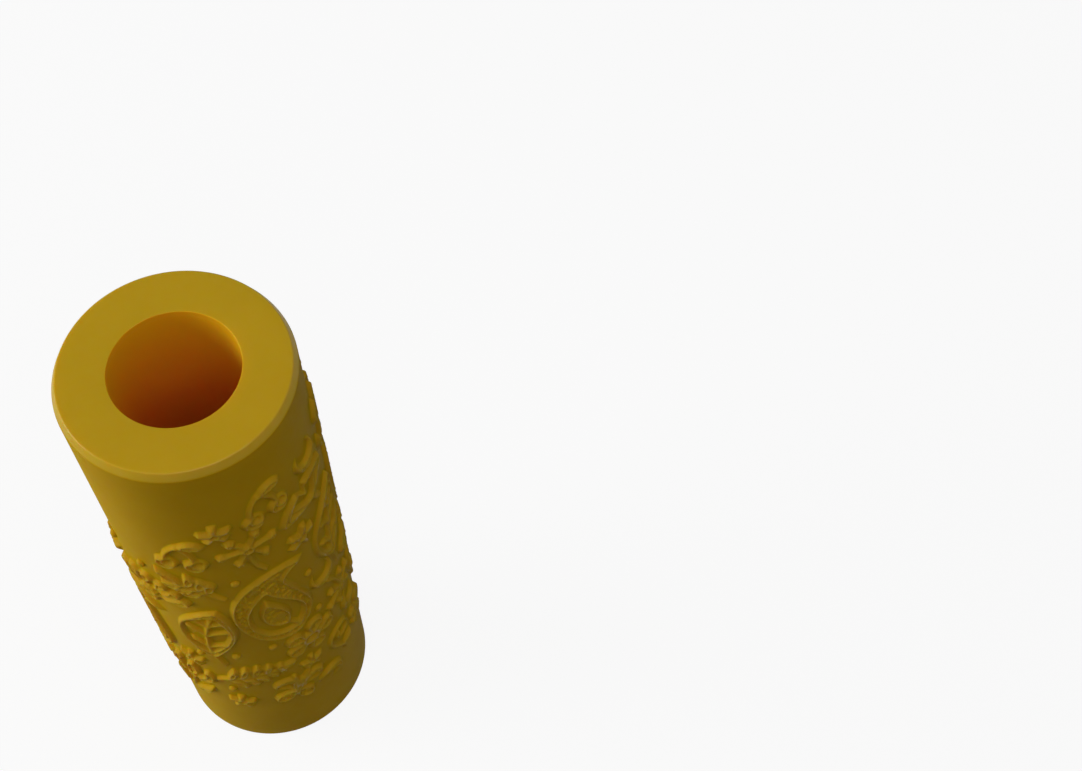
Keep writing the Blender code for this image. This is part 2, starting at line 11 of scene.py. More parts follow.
import bpy
import numpy as np
from mathutils import Matrix, Vector


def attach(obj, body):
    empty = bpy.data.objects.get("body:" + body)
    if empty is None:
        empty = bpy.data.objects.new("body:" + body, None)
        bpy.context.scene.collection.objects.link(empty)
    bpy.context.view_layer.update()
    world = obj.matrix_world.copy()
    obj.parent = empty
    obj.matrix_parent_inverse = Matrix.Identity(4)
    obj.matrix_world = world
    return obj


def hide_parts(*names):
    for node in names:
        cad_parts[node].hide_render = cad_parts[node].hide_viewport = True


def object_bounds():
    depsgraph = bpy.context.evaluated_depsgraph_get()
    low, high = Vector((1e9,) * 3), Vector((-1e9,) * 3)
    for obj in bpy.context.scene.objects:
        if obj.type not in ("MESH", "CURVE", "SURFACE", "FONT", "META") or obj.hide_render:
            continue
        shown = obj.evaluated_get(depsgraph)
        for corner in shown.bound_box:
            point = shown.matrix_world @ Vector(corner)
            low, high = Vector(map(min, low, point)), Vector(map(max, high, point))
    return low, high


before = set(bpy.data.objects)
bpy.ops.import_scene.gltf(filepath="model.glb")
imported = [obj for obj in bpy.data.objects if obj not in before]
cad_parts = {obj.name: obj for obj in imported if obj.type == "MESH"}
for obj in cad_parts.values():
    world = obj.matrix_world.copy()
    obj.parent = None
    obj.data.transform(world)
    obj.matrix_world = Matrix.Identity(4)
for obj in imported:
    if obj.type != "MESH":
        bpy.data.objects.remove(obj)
cad_low, cad_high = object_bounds()

# The roller's sizes in metres. Its length and diameter come from the frame's box.
RELIEF_HEIGHT = 0.0008
ROLLER_LENGTH = cad_high.z - cad_low.z
ROLLER_DIAMETER = cad_high.x - cad_low.x - 2 * RELIEF_HEIGHT
ROLLER_RADIUS = ROLLER_DIAMETER / 2
BORE_RADIUS = 0.0088
CHAMFER_WIDTH = 0.00062
CHAMFER_RISE = 0.00135
CHAMFER_EDGE_RADIUS = 0.0003
BORE_EDGE_RADIUS = 0.00012
LOWER_PLAIN_MARGIN = 0.013
UPPER_PLAIN_MARGIN = 0.009
LINE_WIDTH = 0.0008
GROOVE_WIDTH = 0.0007
BEAD_DIAMETER = 0.0015
BEAD_HEIGHT = 0.0006

# The tile of the pattern, as the part lays it round the roller
TILE_START_ANGLE = math.radians(112.5)
UPRIGHT_SHARE = 1.29
WAVE_MIDDLE_SHARE = 0.5
WAVE_RISE_SHARE = 0.13
WAVE_START_SHARE = 0.5

# Powers that shape the width of a leaf, a petal and a bulb between their two ends
LEAF_BLUNTNESS = 0.75
PETAL_LEAN, PETAL_BLUNTNESS = 1.6, 0.6
BULB_ROUNDNESS, BULB_TAPER = 0.5, 1.1

# Fineness of the meshes, in metres and counts, and the angles from which an edge counts as sharp
GRID_STEP = 0.00010
GRID_MARGIN = 0.00050
CURVE_STEPS = 24
TUBE_SIDES = 256
TUBE_RINGS = 40
CORNER_STEPS = 8
BEAD_SIDES = 20
BEAD_RINGS = 7
TUBE_SHARP_ANGLE = math.radians(35)
BEAD_SHARP_ANGLE = math.radians(50)

# Section of a raised edge: how far it rises outside and inside the drawn edge, how softly strokes join, how
# often the depths are softened, how deep and steep its skirt is, and how deep its floor lies in the wall.
# A grid point with no mark near it counts as far outside.
FOOT_WIDTH = 0.00028
SHOULDER_WIDTH = 0.00048
STROKE_ROUNDING = 0.00022
SOFTENING_PASSES = 5
SKIRT_DEPTH = 0.00012
SKIRT_SLOPE = 0.6
FLOOR_DEPTH = 0.00050
FAR_OUTSIDE = -1.0

# The wide tops sink to a dish from a start inside their edge, over a fade. Pits open in it where leaning
# dashes, mixed with finer grains, are over the threshold. Fine ripples lie on all the relief.
TOP_START = 0.00047
TOP_FADE = 0.00028
DISH_DEPTH = 0.00032
PIT_DEPTH = 0.00026
PIT_LENGTH = 0.00100
PIT_WIDTH = 0.00040
PIT_LEAN = math.radians(35)
DASH_SHARE, GRAIN_SHARE = 0.6, 0.4
PIT_THRESHOLD = 0.42
PIT_STEEPNESS = 5
PIT_SEED = 11
RIPPLE_DEPTH = 0.00009
RIPPLE_SIZE = 0.00036
RIPPLE_SEED = 17
LATTICE_SIZE = 256

# The camera, solved from the upper end's circles and the roller's side lines in the photograph
CAMERA_PLACE = (0.04750, -0.10631, 0.27648)
CAMERA_TILT = math.radians(30.615)
CAMERA_ROLL = math.radians(0.725)
CAMERA_LENS_MM = 53.01
CAMERA_SENSOR_MM = 36
CAMERA_CLIP_START = 0.005

BODY = "root"


def add_camera():
    camera = bpy.data.objects.new("camera", bpy.data.cameras.new("camera"))
    camera.data.lens = CAMERA_LENS_MM
    camera.data.sensor_width = CAMERA_SENSOR_MM
    camera.data.clip_start = CAMERA_CLIP_START
    turn = Matrix.Rotation(CAMERA_TILT, 4, "X") @ Matrix.Rotation(CAMERA_ROLL, 4, "Z")
    camera.matrix_world = Matrix.Translation(CAMERA_PLACE) @ turn
    bpy.context.scene.collection.objects.link(camera)
    bpy.context.scene.camera = camera


# Places on the roller


def tile_point(across_share, up_share):
    """Metres round the roller and above its lower end, of a point given as shares of the tile."""
    band_height = ROLLER_LENGTH - LOWER_PLAIN_MARGIN - UPPER_PLAIN_MARGIN
    return across_share * math.pi * ROLLER_DIAMETER, LOWER_PLAIN_MARGIN + up_share * band_height


def middle_share(across_share):
    """How far up the tile the pattern's middle line is."""
    return WAVE_MIDDLE_SHARE + WAVE_RISE_SHARE * math.sin(math.tau * (across_share - WAVE_START_SHARE))


# Flat curves and outlines, as lists of points


def bezier(start, start_pull, end_pull, end, crowding=1):
    """Points on a cubic curve, both ends included. A crowding over 1 sets more of them near its start."""
    points = []
    for i in range(CURVE_STEPS + 1):
        t = (i / CURVE_STEPS) ** crowding
        weights = ((1 - t) ** 3, 3 * t * (1 - t) ** 2, 3 * t * t * (1 - t), t**3)
        pulls = (start, start_pull, end_pull, end)
        points.append(tuple(sum(w * p[axis] for w, p in zip(weights, pulls)) for axis in (0, 1)))
    return points


def bowed(start, end, bow_share):
    """Points on a line from start to end that bows to its left by a share of its length."""
    across, up = end[0] - start[0], end[1] - start[1]
    lift = (-up * bow_share * 4 / 3, across * bow_share * 4 / 3)
    pulls = [(start[0] + across * t + lift[0], start[1] + up * t + lift[1]) for t in (1 / 3, 2 / 3)]
    return bezier(start, *pulls, end)


def along(spine, share):
    """The point of a spine at a share of its steps."""
    return spine[round(share * (len(spine) - 1))]


def stretch(spine, first_share, last_share):
    """The part of a spine between two shares of its steps."""
    steps = len(spine) - 1
    return spine[round(first_share * steps) : round(last_share * steps) + 1]


def polar(radius, degrees, centre=(0, 0)):
    """The point at a radius and a clockwise angle from a centre. Zero degrees is up."""
    angle = math.radians(degrees)
    return centre[0] + radius * math.sin(angle), centre[1] + radius * math.cos(angle)


def arc(centre, radius, start_degrees, end_degrees):
    """Points on a circular arc, both ends included."""
    sweep = end_degrees - start_degrees
    return [polar(radius, start_degrees + sweep * i / CURVE_STEPS, centre) for i in range(CURVE_STEPS + 1)]


def disc(centre, radius):
    return arc(centre, radius, 0, 360)[:-1]


def ribbon(spine, half_widths):
    """The outline of a band along a spine. It is pointed where the half width is zero."""
    left, right = [], []
    for i, (x, y) in enumerate(spine):
        before, after = spine[max(i - 1, 0)], spine[min(i + 1, len(spine) - 1)]
        run, rise = after[0] - before[0], after[1] - before[1]
        reach = half_widths[i] / math.hypot(run, rise)
        left.append((x - rise * reach, y + run * reach))
        if reach > 0:
            right.append((x + rise * reach, y - run * reach))
    return left + right[::-1]


def leaf(base, tip, width, bow_share=0):
    """A leaf's outline, pointed at both ends and widest at its middle."""
    ways = [i / CURVE_STEPS for i in range(1, CURVE_STEPS)]
    middle = [width / 2 * math.sin(math.pi * way) ** LEAF_BLUNTNESS for way in ways]
    return ribbon(bowed(base, tip, bow_share), [0, *middle, 0])


def drop(base, tip, width, bow_share=0):
    """A petal's outline, pointed at its base, widest past its middle and blunt at its tip."""
    ways = [i / CURVE_STEPS for i in range(1, CURVE_STEPS)]
    middle = [width / 2 * math.sin(math.pi * way**PETAL_LEAN) ** PETAL_BLUNTNESS for way in ways]
    return ribbon(bowed(base, tip, bow_share), [0, *middle, 0])


def bulb(spine, width, crowding):
    """An outline that is round at the start of its spine and drawn out to a point at its end."""
    count = len(spine) - 1
    ways = [(i / count) ** crowding for i in range(count + 1)]
    swells = [t**BULB_ROUNDNESS * (1 - t) ** BULB_TAPER for t in ways]
    return ribbon(spine, [width / 2 * swell / max(swells) for swell in swells])


# Depths inside outlines and strokes, for arrays of flat points


def squared_gap(x, y, start, end):
    """Squared distance of flat points from a straight piece of line."""
    run, rise = end[0] - start[0], end[1] - start[1]
    length_squared = max(run * run + rise * rise, sys.float_info.min)
    way = np.clip(((x - start[0]) * run + (y - start[1]) * rise) / length_squared, 0, 1)
    return (x - start[0] - way * run) ** 2 + (y - start[1] - way * rise) ** 2


def outline_depth(x, y, outline):
    """How far flat points are inside an outline. It is negative outside."""
    nearest = np.full(x.shape, np.inf)
    inside = np.zeros(x.shape, bool)
    for start, end in zip(outline, outline[1:] + outline[:1]):
        nearest = np.minimum(nearest, squared_gap(x, y, start, end))
        if start[1] != end[1]:
            meeting = start[0] + (y - start[1]) * (end[0] - start[0]) / (end[1] - start[1])
            inside ^= ((start[1] > y) != (end[1] > y)) & (x < meeting)
    return np.where(inside, 1, -1) * np.sqrt(nearest)


def stroke_depth(x, y, spine, half_width):
    """How far flat points are inside a round-ended stroke along a spine. It is negative outside."""
    nearest = np.full(x.shape, np.inf)
    for start, end in zip(spine, spine[1:]):
        nearest = np.minimum(nearest, squared_gap(x, y, start, end))
    return half_width - np.sqrt(nearest)


def joined(one, other):
    """The depth inside either of two shapes, with their meeting rounded off."""
    blend = np.maximum(STROKE_ROUNDING - abs(one - other), 0) / STROKE_ROUNDING
    return np.maximum(one, other) + blend * blend * STROKE_ROUNDING / 4


def softened(depth):
    """The depths with their corners rounded off: each is averaged with its neighbours, a few times over."""
    depth = np.maximum(depth, -GRID_MARGIN)
    for _ in range(SOFTENING_PASSES):
        padded = np.pad(depth, 1, mode="edge")
        padded = (padded[:-2] + padded[1:-1] + padded[2:]) / 3
        depth = (padded[:, :-2] + padded[:, 1:-1] + padded[:, 2:]) / 3
    return depth


class Drawing:
    """A motif at its place on the tile: marks painted in order, each raised ink or a groove."""

    def __init__(self, place_shares, turn_degrees, size_share):
        self.place_shares = place_shares
        self.turn = math.radians(turn_degrees)
        self.size_share = size_share
        self.marks = []

    def flat(self, point_shares):
        """Metres round and up the roller, of a point given as shares of the drawing's size."""
        x, y = point_shares
        turned_x = x * math.cos(self.turn) + y * math.sin(self.turn)
        turned_y = y * math.cos(self.turn) - x * math.sin(self.turn)
        return tile_point(
            self.place_shares[0] + turned_x * self.size_share,
            self.place_shares[1] + turned_y * self.size_share * UPRIGHT_SHARE,
        )

    def ink(self, outline_shares):
        self.marks.append(([self.flat(p) for p in outline_shares], 0, True))

    def groove(self, outline_shares):
        self.marks.append(([self.flat(p) for p in outline_shares], 0, False))

    def ink_line(self, spine_shares):
        self.marks.append(([self.flat(p) for p in spine_shares], LINE_WIDTH / 2, True))

    def groove_line(self, spine_shares):
        self.marks.append(([self.flat(p) for p in spine_shares], GROOVE_WIDTH / 2, False))

    def grid(self):
        """Columns and rows of a flat grid that covers the drawing and a margin round it."""
        points = np.array([p for points, _, _ in self.marks for p in points])
        spare = LINE_WIDTH / 2 + GRID_MARGIN
        low, high = points.min(axis=0) - spare, points.max(axis=0) + spare
        return [np.arange(low[axis], high[axis] + GRID_STEP, GRID_STEP) for axis in (0, 1)]

    def depths(self, columns, rows):
        """How far each grid point is inside the raised area."""
        depth = np.full((len(columns), len(rows)), FAR_OUTSIDE)
        for points, half_width, raised in self.marks:
            low = np.min(points, axis=0) - half_width - SHOULDER_WIDTH - STROKE_ROUNDING
            high = np.max(points, axis=0) + half_width + SHOULDER_WIDTH + STROKE_ROUNDING
            across = slice(*np.searchsorted(columns, (low[0], high[0])))
            up = slice(*np.searchsorted(rows, (low[1], high[1])))
            x, y = np.meshgrid(columns[across], rows[up], indexing="ij")
            if half_width:
                mark = stroke_depth(x, y, points, half_width)
            else:
                mark = outline_depth(x, y, points)
            if raised:
                depth[across, up] = joined(depth[across, up], mark)
            else:
                depth[across, up] = -joined(-depth[across, up], mark)
        return softened(depth)


# The motifs. Each fills a unit square from foot to head, and its points and widths are shares of its size.


def paisley(motif):
    """A bulb that tapers to a hooked tip, with a groove inside its rim and a solid drop at its heart."""
    spine_shares = ((0.1, -0.5), (-0.16, -0.3), (-0.34, 0.66), (0.24, 0.46))
    rim_width_share, groove_width_share, heart_width_share = 0.56, 0.36, 0.2
    groove_shares, heart_shares, line_shares = (2 / 11, 8 / 11), (3 / 11, 7 / 11), (1 / 11, 5 / 11)
    crowding = 1.4
    spine = bezier(*spine_shares, crowding)
    motif.ink(bulb(spine, rim_width_share, crowding))
    motif.groove(bulb(stretch(spine, *groove_shares), groove_width_share, crowding))
    motif.ink(bulb(stretch(spine, *heart_shares), heart_width_share, crowding))
    motif.ink_line(stretch(spine, *line_shares))


def plume(motif):
    """A broad leaf in outline on a stalk, with a raised midrib and side veins."""
    base_share, tip_share, bow_share = (0.03, -0.34), (0.02, 0.5), 0.07
    width_share, inner_width_share, vein_rise_share, vein_bow_share = 0.42, 0.32, 0.75, 0.08
    stalk_shares = ((0.1, -0.5), (0.08, -0.42), (0.02, -0.36))
    root_share, rib_end_share, inner_end_share = 1 / 9, 7 / 9, 8 / 9
    vein_reach_shares = {2 / 9: 0.12, 4 / 9: 0.14, 6 / 9: 0.1}
    motif.ink(leaf(base_share, tip_share, width_share, bow_share))
    midrib = bowed(base_share, tip_share, bow_share)
    root, inner_end = along(midrib, root_share), along(midrib, inner_end_share)
    motif.groove(leaf(root, inner_end, inner_width_share, bow_share))
    motif.ink_line(stretch(midrib, root_share, rib_end_share))
    for way_share, reach_share in vein_reach_shares.items():
        x, y = along(midrib, way_share)
        for side in (-1, 1):
            tip = (x + side * reach_share, y + reach_share * vein_rise_share)
            motif.ink_line(bowed((x, y), tip, side * vein_bow_share))
    motif.ink_line(bezier(*stalk_shares, root))


def tulip(motif):
    """A cup of three petals on a stalk with two lance leaves."""
    foot_share, cup_share, top_share = (0, -0.5), (0, 0.02), (0, 0.52)
    petal_tip_shares, petal_width_share, petal_bow_share = (0.21, 0.46), 0.28, 0.14
    gap_width_share, heart_width_share, cup_radius_share = 0.34, 0.2, 0.08
    leaf_root_shares, leaf_tip_shares = (-0.42, -0.46), ((-0.26, -0.04), (0.27, -0.14))
    leaf_width_share, leaf_bow_share = 0.13, 0.16
    for side in (-1, 1):
        tip = (side * petal_tip_shares[0], petal_tip_shares[1])
        motif.ink(leaf(cup_share, tip, petal_width_share, -side * petal_bow_share))
    motif.groove(leaf(cup_share, top_share, gap_width_share))
    motif.ink(leaf(cup_share, top_share, heart_width_share))
    motif.ink(disc(cup_share, cup_radius_share))
    motif.ink_line([foot_share, cup_share])
    for side, root_share, tip in zip((1, -1), leaf_root_shares, leaf_tip_shares):
        motif.ink(leaf((0, root_share), tip, leaf_width_share, side * leaf_bow_share))


def ginkgo(motif):
    """A notched fan in outline, with two veins that spread from its stalk."""
    hinge_share, notch_share, reach_share = (0, -0.2), (0, 0.2), 0.62
    inner_hinge_share, inner_notch_share, inner_reach_share = (0, -0.1), (0, 0.02), 0.42
    edge_degrees, notch_degrees, inner_edge_degrees, inner_notch_degrees = 64, 8, 60, 14
    vein_degrees, vein_reach_share = 38, 0.56
    stalk_shares = ((0.08, -0.5), (0.02, -0.4), (0, -0.3), (0, -0.14))
    left = arc(hinge_share, reach_share, -edge_degrees, -notch_degrees)
    right = arc(hinge_share, reach_share, notch_degrees, edge_degrees)
    motif.ink([hinge_share, *left, notch_share, *right])
    left = arc(inner_hinge_share, inner_reach_share, -inner_edge_degrees, -inner_notch_degrees)
    right = arc(inner_hinge_share, inner_reach_share, inner_notch_degrees, inner_edge_degrees)
    motif.groove([inner_hinge_share, *left, inner_notch_share, *right])
    for side in (-1, 1):
        motif.ink_line([hinge_share, polar(vein_reach_share, side * vein_degrees, hinge_share)])
    motif.ink_line(bezier(*stalk_shares))


def daisy(motif):
    """Drop petals round a pierced centre."""
    petals = 5
    root_share, reach_share, petal_width_share = 0.08, 0.5, 0.34
    centre_radius_share, hole_radius_share = 0.2, 0.08
    for i in range(petals):
        degrees = 360 * i / petals
        motif.ink(drop(polar(root_share, degrees), polar(reach_share, degrees), petal_width_share))
    motif.ink(disc((0, 0), centre_radius_share))
    motif.groove(disc((0, 0), hole_radius_share))


def fern(motif):
    """A bowed stalk with pairs of leaflets that shorten towards its tip."""
    foot_share, crown_share, tip_share, stalk_bow_share = (0.05, -0.5), (-0.02, 0.4), (-0.06, 0.52), 0.08
    leaflet_reach_share, leaflet_rise_share, leaflet_width_share, leaflet_bow_share = 0.29, 0.6, 0.115, 0.1
    first_swell_share, last_swell_share = 0.45, 0.85
    pairs = 5
    stalk = bowed(foot_share, crown_share, stalk_bow_share)
    motif.ink_line(stalk)
    for i in range(1, pairs + 1):
        x, y = along(stalk, i / (pairs + 1))
        swell_share = first_swell_share + (last_swell_share - first_swell_share) * (i - 1) / (pairs - 1)
        reach = leaflet_reach_share * math.sin(math.pi * swell_share)
        for side in (-1, 1):
            tip = (x + side * reach, y + reach * leaflet_rise_share)
            motif.ink(leaf((x, y), tip, leaflet_width_share, side * leaflet_bow_share))
    motif.ink(leaf(along(stalk, pairs / (pairs + 1)), tip_share, leaflet_width_share))


def wheat(motif):
    """An ear of plump paired grains on a bowed stalk."""
    foot_share, crown_share, tip_share, stalk_bow_share = (0.08, -0.5), (0, 0.2), (0, 0.5), -0.06
    grain_shares, grain_width_share, grain_bow_share = (0.22, 0.2), 0.15, 0.2
    pairs, bare_steps = 3, 2
    stalk = bowed(foot_share, crown_share, stalk_bow_share)
    steps = pairs + bare_steps
    motif.ink_line(stalk)
    for i in range(bare_steps, steps):
        x, y = along(stalk, i / steps)
        for side in (-1, 1):
            tip = (x + side * grain_shares[0], y + grain_shares[1])
            motif.ink(leaf((x, y), tip, grain_width_share, -side * grain_bow_share))
    motif.ink(leaf(along(stalk, (steps - 1) / steps), tip_share, grain_width_share))


def dandelion(motif):
    """A seed head: knobbed spokes round a small hub, on a bowed stalk."""
    foot_share, hub_share, stalk_bow_share = (0.06, -0.5), (0, 0.16), 0.08
    spoke_share, knob_radius_share, hub_radius_share = 0.3, 0.065, 0.09
    spokes = 6
    motif.ink_line(bowed(foot_share, hub_share, stalk_bow_share))
    for i in range(spokes):
        tip = polar(spoke_share, 180 + 360 * (i + 0.5) / spokes, hub_share)
        motif.ink_line([hub_share, tip])
        motif.ink(disc(tip, knob_radius_share))
    motif.ink(disc(hub_share, hub_radius_share))


def butterfly(motif):
    """Two pairs of wings, the upper pair pierced, on a slim body with feelers."""
    upper_tip_shares, lower_tip_shares = (0.46, 0.36), (0.34, -0.42)
    upper_width_share, lower_width_share, wing_bow_share = 0.44, 0.34, 0.06
    window_shares, window_width_share = ((0.15, 0.1), (0.36, 0.27)), 0.22
    feeler_shares, body_half_share, body_width_share = ((0, 0.2), (0.14, 0.5)), 0.36, 0.15
    for side in (-1, 1):
        upper_tip, lower_tip = ((side * x, y) for x, y in (upper_tip_shares, lower_tip_shares))
        window = [(side * x, y) for x, y in window_shares]
        feeler = [(side * x, y) for x, y in feeler_shares]
        motif.ink(drop((0, 0), upper_tip, upper_width_share, side * wing_bow_share))
        motif.ink(drop((0, 0), lower_tip, lower_width_share, -side * wing_bow_share))
        motif.groove(drop(*window, window_width_share))
        motif.ink_line(feeler)
    motif.ink(leaf((0, -body_half_share), (0, body_half_share), body_width_share))


def poppy_pod(motif):
    """A ribbed seed pod under a scalloped crown, on a stalk with one leaf."""
    pod_share, pod_radius_share, rib_shares = (0, 0.06), 0.24, (-0.09, 0.0, 0.09)
    rib_rise_share, rib_bulge_share = 0.14, 1.4
    crown_rise_share, crown_half_share, neck_shares, scallop_radius_share = 0.41, 0.22, (0.12, 0.24), 0.09
    foot_share, leaf_shares = (0.05, -0.5), ((0.04, -0.44), (0.3, -0.2))
    leaf_width_share, leaf_bow_share = 0.15, -0.15
    scallops = 4
    motif.ink(disc(pod_share, pod_radius_share))
    for x in rib_shares:
        rises = [pod_share[1] + rib_rise_share * step for step in (-1, 0, 1)]
        motif.groove_line([(x, rises[0]), (x * rib_bulge_share, rises[1]), (x, rises[2])])
    for i in range(scallops):
        x = crown_half_share * (2 * i / (scallops - 1) - 1)
        motif.ink(disc((x, crown_rise_share), scallop_radius_share))
    neck_half, neck_rise = neck_shares
    rim = [(-crown_half_share, crown_rise_share), (crown_half_share, crown_rise_share)]
    motif.ink([(-neck_half, neck_rise), *rim, (neck_half, neck_rise)])
    motif.ink_line([foot_share, pod_share])
    motif.ink(leaf(*leaf_shares, leaf_width_share, leaf_bow_share))


def shell(motif):
    """A scallop with grooved ribs and two small ears at its hinge."""
    hinge_share, valley_share, crest_share, rib_shares = (0, -0.36), 0.74, 0.84, (0.28, 0.64)
    ear_shares = ((-0.24, -0.5), (-0.2, -0.3), (0.2, -0.3), (0.24, -0.5))
    crests, crest_degrees = 6, 22
    half_turn = crests * crest_degrees / 2
    edge_steps = CURVE_STEPS * 4
    edge = [hinge_share]
    for i in range(edge_steps + 1):
        way = i / edge_steps
        lift = abs(math.sin(math.pi * crests * way))
        reach = valley_share + (crest_share - valley_share) * lift
        edge.append(polar(reach, crests * crest_degrees * way - half_turn, hinge_share))
    motif.ink(edge)
    for i in range(1, crests):
        degrees = i * crest_degrees - half_turn
        motif.groove_line([polar(reach, degrees, hinge_share) for reach in rib_shares])
    motif.ink(ear_shares)


def cherries(motif):
    """Two round fruits with a glint hole, on joined stalks with one leaf."""
    fruit_shares, fruit_radius_share = ((-0.26, -0.27), (0.22, -0.3)), 0.2
    glint_share, glint_radius_share = 0.06, 0.06
    stalk_rise_share, joint_share, stalk_bow_share = 0.14, (0.02, 0.38), 0.1
    leaf_tip_share, leaf_width_share, leaf_bow_share = (0.48, 0.34), 0.24, 0.12
    for side, (x, y) in zip((1, -1), fruit_shares):
        motif.ink(disc((x, y), fruit_radius_share))
        motif.groove(disc((x + glint_share, y + glint_share), glint_radius_share))
        stalk_root = (x, y + stalk_rise_share)
        motif.ink_line(bowed(stalk_root, joint_share, side * stalk_bow_share))
    motif.ink(leaf(joint_share, leaf_tip_share, leaf_width_share, leaf_bow_share))


def sparkle(motif):
    """A small star of five blunt rays."""
    rays, tip_degrees = 5, 13
    tip_share, notch_share = 0.5, 0.2
    star = []
    for i in range(rays):
        degrees = 360 * i / rays
        star += [polar(tip_share, degrees + side * tip_degrees) for side in (-1, 1)]
        star.append(polar(notch_share, degrees + 180 / rays))
    motif.ink(star)


def tendril(motif):
    """A stalk that curls into a spiral, with one small leaf."""
    foot_shares, curl_share = ((0.16, -0.5), (0.12, -0.26), (-0.27, -0.14)), (0, 0.22)
    outer_radius_share, inner_radius_share = 0.27, 0.08
    first_degrees, curl_degrees = 270, 400
    leaf_shares, leaf_width_share, leaf_bow_share = ((0.08, -0.33), (0.34, -0.16)), 0.15, -0.1
    shrink = inner_radius_share - outer_radius_share
    curl_steps = CURVE_STEPS * 2
    curl = []
    for i in range(curl_steps + 1):
        way = i / curl_steps
        radius_share = outer_radius_share + shrink * way
        curl.append(polar(radius_share, first_degrees + curl_degrees * way, curl_share))
    motif.ink_line(bezier(*foot_shares, curl[0]) + curl[1:])
    motif.ink(leaf(*leaf_shares, leaf_width_share, leaf_bow_share))


def crescent(motif):
    """A moon: an outer arc closed by an inner one."""
    outer_radius_share, inner_centre_share, inner_radius_share = 0.48, (0.05, 0.17), 0.35
    outer_degrees, inner_degrees = (50, 340), (323, 67)
    outer = arc((0, 0), outer_radius_share, *outer_degrees)
    inner = arc(inner_centre_share, inner_radius_share, *inner_degrees)
    motif.ink(outer + inner[1:-1])


# Each place is a motif, its shares across the tile and above the pattern's middle line, its clockwise turn
# in degrees and its size as a share of the tile's width
PLACE_SHARES = (
    (paisley, 0.04, 0.00, 5, 0.205),
    (plume, 0.16, 0.00, -5, 0.22),
    (paisley, 0.29, 0.00, 5, 0.205),
    (plume, 0.415, 0.00, 10, 0.22),
    (paisley, 0.54, 0.00, 0, 0.205),
    (plume, 0.66, 0.00, 15, 0.22),
    (paisley, 0.795, 0.00, 5, 0.205),
    (plume, 0.91, 0.00, -5, 0.22),
    (tulip, 0.02, 0.24, 5, 0.135),
    (daisy, 0.135, 0.25, 0, 0.10),
    (fern, 0.23, 0.235, 55, 0.14),
    (shell, 0.345, 0.225, 20, 0.09),
    (wheat, 0.41, 0.25, -40, 0.125),
    (dandelion, 0.515, 0.27, -5, 0.125),
    (ginkgo, 0.625, 0.225, -20, 0.11),
    (tulip, 0.73, 0.25, 10, 0.13),
    (daisy, 0.82, 0.235, 10, 0.10),
    (butterfly, 0.92, 0.235, 25, 0.11),
    (daisy, 0.05, -0.235, 0, 0.10),
    (wheat, 0.14, -0.24, 50, 0.125),
    (ginkgo, 0.245, -0.235, -20, 0.11),
    (tulip, 0.34, -0.245, 10, 0.135),
    (fern, 0.46, -0.245, 78, 0.14),
    (daisy, 0.56, -0.235, 20, 0.10),
    (dandelion, 0.64, -0.22, 165, 0.12),
    (shell, 0.735, -0.21, -160, 0.09),
    (fern, 0.815, -0.32, 65, 0.14),
    (poppy_pod, 0.925, -0.23, 175, 0.12),
    (butterfly, 0.515, -0.405, 15, 0.095),
    (cherries, 0.55, 0.385, -10, 0.085),
    (cherries, 0.985, -0.41, 0, 0.085),
    (cherries, 0.42, 0.38, 0, 0.085),
    (daisy, 0.985, 0.40, 0, 0.075),
    (daisy, 0.682, -0.47, 15, 0.075),
    (crescent, 0.612, -0.08, -20, 0.055),
    (crescent, 0.96, -0.335, 60, 0.055),
    (crescent, 0.105, 0.11, 60, 0.055),
    (crescent, 0.64, 0.33, -20, 0.055),
    (crescent, 0.662, -0.35, 20, 0.055),
    (crescent, 0.578, -0.495, 200, 0.055),
    (sparkle, 0.592, 0.15, 20, 0.055),
    (sparkle, 0.36, -0.12, 0, 0.05),
    (sparkle, 0.55, -0.34, 0, 0.045),
    (sparkle, 0.865, 0.115, 0, 0.045),
    (sparkle, 0.478, 0.415, 0, 0.05),
    (sparkle, 0.42, -0.36, 0, 0.05),
    (sparkle, 0.14, 0.36, 0, 0.055),
    (sparkle, 0.87, -0.37, 0, 0.05),
    (tendril, 0.614, -0.42, 10, 0.10),
    (tendril, 0.72, -0.35, 20, 0.10),
)


def placed_drawings():
    """Each motif's drawing at its place, by the name of its node."""
    drawings, counts = {}, {}
    for motif, across_share, rise_share, turn_degrees, size_share in PLACE_SHARES:
        counts[motif] = counts.get(motif, 0) + 1
        place_shares = across_share, middle_share(across_share) + rise_share
        drawing = Drawing(place_shares, turn_degrees, size_share)
        motif(drawing)
        drawings[f"{motif.__name__}_{counts[motif]}"] = drawing
    return drawings


# The raised surface


def lattice_noise(x, y, seed):
    """Smooth noise between 0 and 1, with one random value at each whole x and y."""
    values = np.random.default_rng(seed).random((LATTICE_SIZE, LATTICE_SIZE))
    column, row = np.floor(x).astype(int), np.floor(y).astype(int)
    ease_x, ease_y = ((t * t * (3 - 2 * t)) for t in (x - column, y - row))
    columns, rows = ([(first + i) % LATTICE_SIZE for i in (0, 1)] for first in (column, row))
    corners = [[values[c, r] for r in rows] for c in columns]
    left, right = (low + (high - low) * ease_y for low, high in corners)
    return left + (right - left) * ease_x


def pits(x, y):
    """How deep the pits are at flat points, from 0 to 1: leaning dashes broken by finer grains."""
    lean_x = x * math.cos(PIT_LEAN) + y * math.sin(PIT_LEAN)
    lean_y = y * math.cos(PIT_LEAN) - x * math.sin(PIT_LEAN)
    dashes = lattice_noise(lean_x / PIT_LENGTH, lean_y / PIT_WIDTH, PIT_SEED)
    grains = lattice_noise(x / PIT_WIDTH, y / PIT_WIDTH, PIT_SEED + 1)
    mixed = dashes * DASH_SHARE + grains * GRAIN_SHARE
    return np.clip((mixed - PIT_THRESHOLD) * PIT_STEEPNESS, 0, 1)


